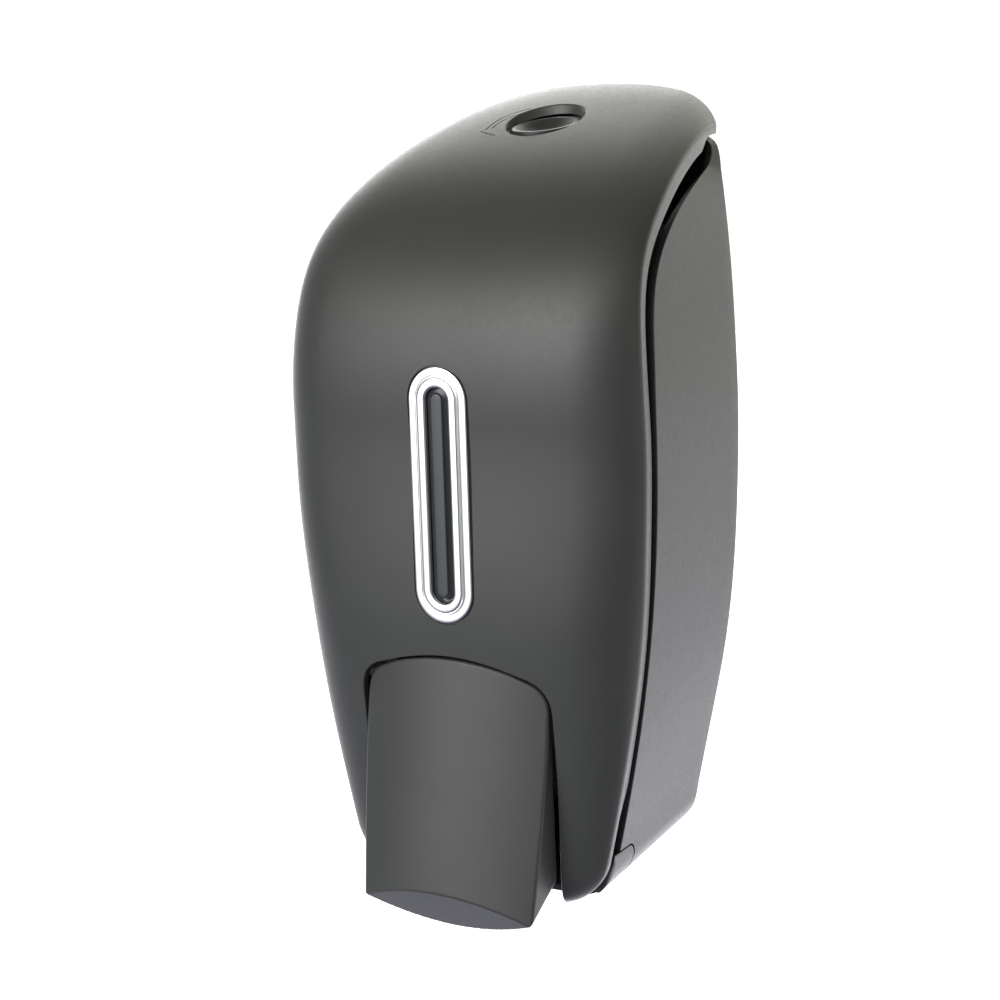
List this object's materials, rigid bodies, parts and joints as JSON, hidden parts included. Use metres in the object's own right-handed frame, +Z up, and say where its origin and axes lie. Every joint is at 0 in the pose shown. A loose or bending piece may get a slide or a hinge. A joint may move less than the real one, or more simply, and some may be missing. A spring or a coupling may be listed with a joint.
{
  "type": "wall mounted soap dispenser",
  "caption": "Wall mounted soap dispenser with a lockable hinged cover, level window, refillable tank, piston pump and a push bar across the lower front.",
  "frame": {"origin": "centre of the four wall screw holes, on the wall plane", "axes": "+Z up, +Y into the wall, +X to the right as seen from the front"},
  "size_m": [0.118, 0.0977, 0.2495],
  "materials": {
    "cover_abs": "satin charcoal ABS with a fine grain",
    "housing_abs": "satin charcoal ABS with a fine grain",
    "inner_abs": "plain dark moulded plastic",
    "lock_abs": "satin dark plastic",
    "chrome_trim": "bright chrome plating",
    "smoke_lens": "smoked polycarbonate, gloss",
    "black_rubber": "matte",
    "white_pp": "natural white polypropylene",
    "grey_pom": "grey acetal",
    "tank_translucent": "translucent polyethylene",
    "amber_silicone": "soft silicone",
    "spring_steel": "drawn stainless wire",
    "zinc_steel": "zinc plated"
  },
  "bodies": {
    "housing": {"rear_housing": "housing_abs", "hinge_pins": "zinc_steel", "tank_shelf": "inner_abs", "shelf_screws": "zinc_steel", "latch_catch": "inner_abs", "catch_screws": "zinc_steel", "tank": "tank_translucent", "neck_gasket": "black_rubber", "pump_nut": "white_pp", "pump_body": "white_pp", "pump_gland": "grey_pom", "inlet_valve": "amber_silicone", "outlet_valve": "amber_silicone", "nozzle": "inner_abs", "return_spring": "spring_steel"},
    "filler_cap": {"filler_cap": "inner_abs", "cap_seal": "black_rubber"},
    "plunger": {"pump_plunger": "white_pp", "plunger_seal": "black_rubber", "plunger_button": "grey_pom"},
    "cover": {"front_cover": "cover_abs", "hinge_arms": "housing_abs", "window_bezel": "chrome_trim", "window_lens": "smoke_lens", "lens_gasket": "black_rubber", "bezel_retainer": "inner_abs", "push_bar_bracket": "inner_abs", "bracket_screws": "zinc_steel", "push_bar_pin": "zinc_steel", "lock_cup": "cover_abs"},
    "push_bar": {"push_bar": "cover_abs", "pusher_pad": "black_rubber"},
    "lock": {"lock_plug": "lock_abs", "lock_cam": "zinc_steel", "cam_screw": "zinc_steel"}
  },
  "joints": [
    {"name": "cover_hinge", "type": "hinge", "parent": "housing", "child": "cover", "pos_m": [0, -0.058, -0.1075], "axis": [1, 0, 0], "range_deg": [0, 90]},
    {"name": "push_bar_hinge", "type": "hinge", "parent": "cover", "child": "push_bar", "pos_m": [0, -0.08, -0.051], "axis": [1, 0, 0], "range_deg": [0, 11], "stiffness_Nm_per_rad": 0.9, "springref_deg": -9.74},
    {"name": "plunger_slide", "type": "slide", "parent": "housing", "child": "plunger", "axis": [0, 1, 0], "range_m": [0, 0.007], "deforming": ["return_spring"]},
    {"name": "lock_turn", "type": "hinge", "parent": "cover", "child": "lock", "pos_m": [0, -0.034, 0.1102], "axis": [0, -0.2588, 0.9659], "range_deg": [-90, 0]},
    {"name": "cap_turn", "type": "hinge", "parent": "housing", "child": "filler_cap", "pos_m": [0, -0.034, 0.081], "axis": [0, 0, 1], "range_deg": [0, 60]}
  ],
  "couplings": [
    {"joint": "plunger_slide", "follows": "push_bar_hinge", "m_per_rad": 0.036}
  ]
}
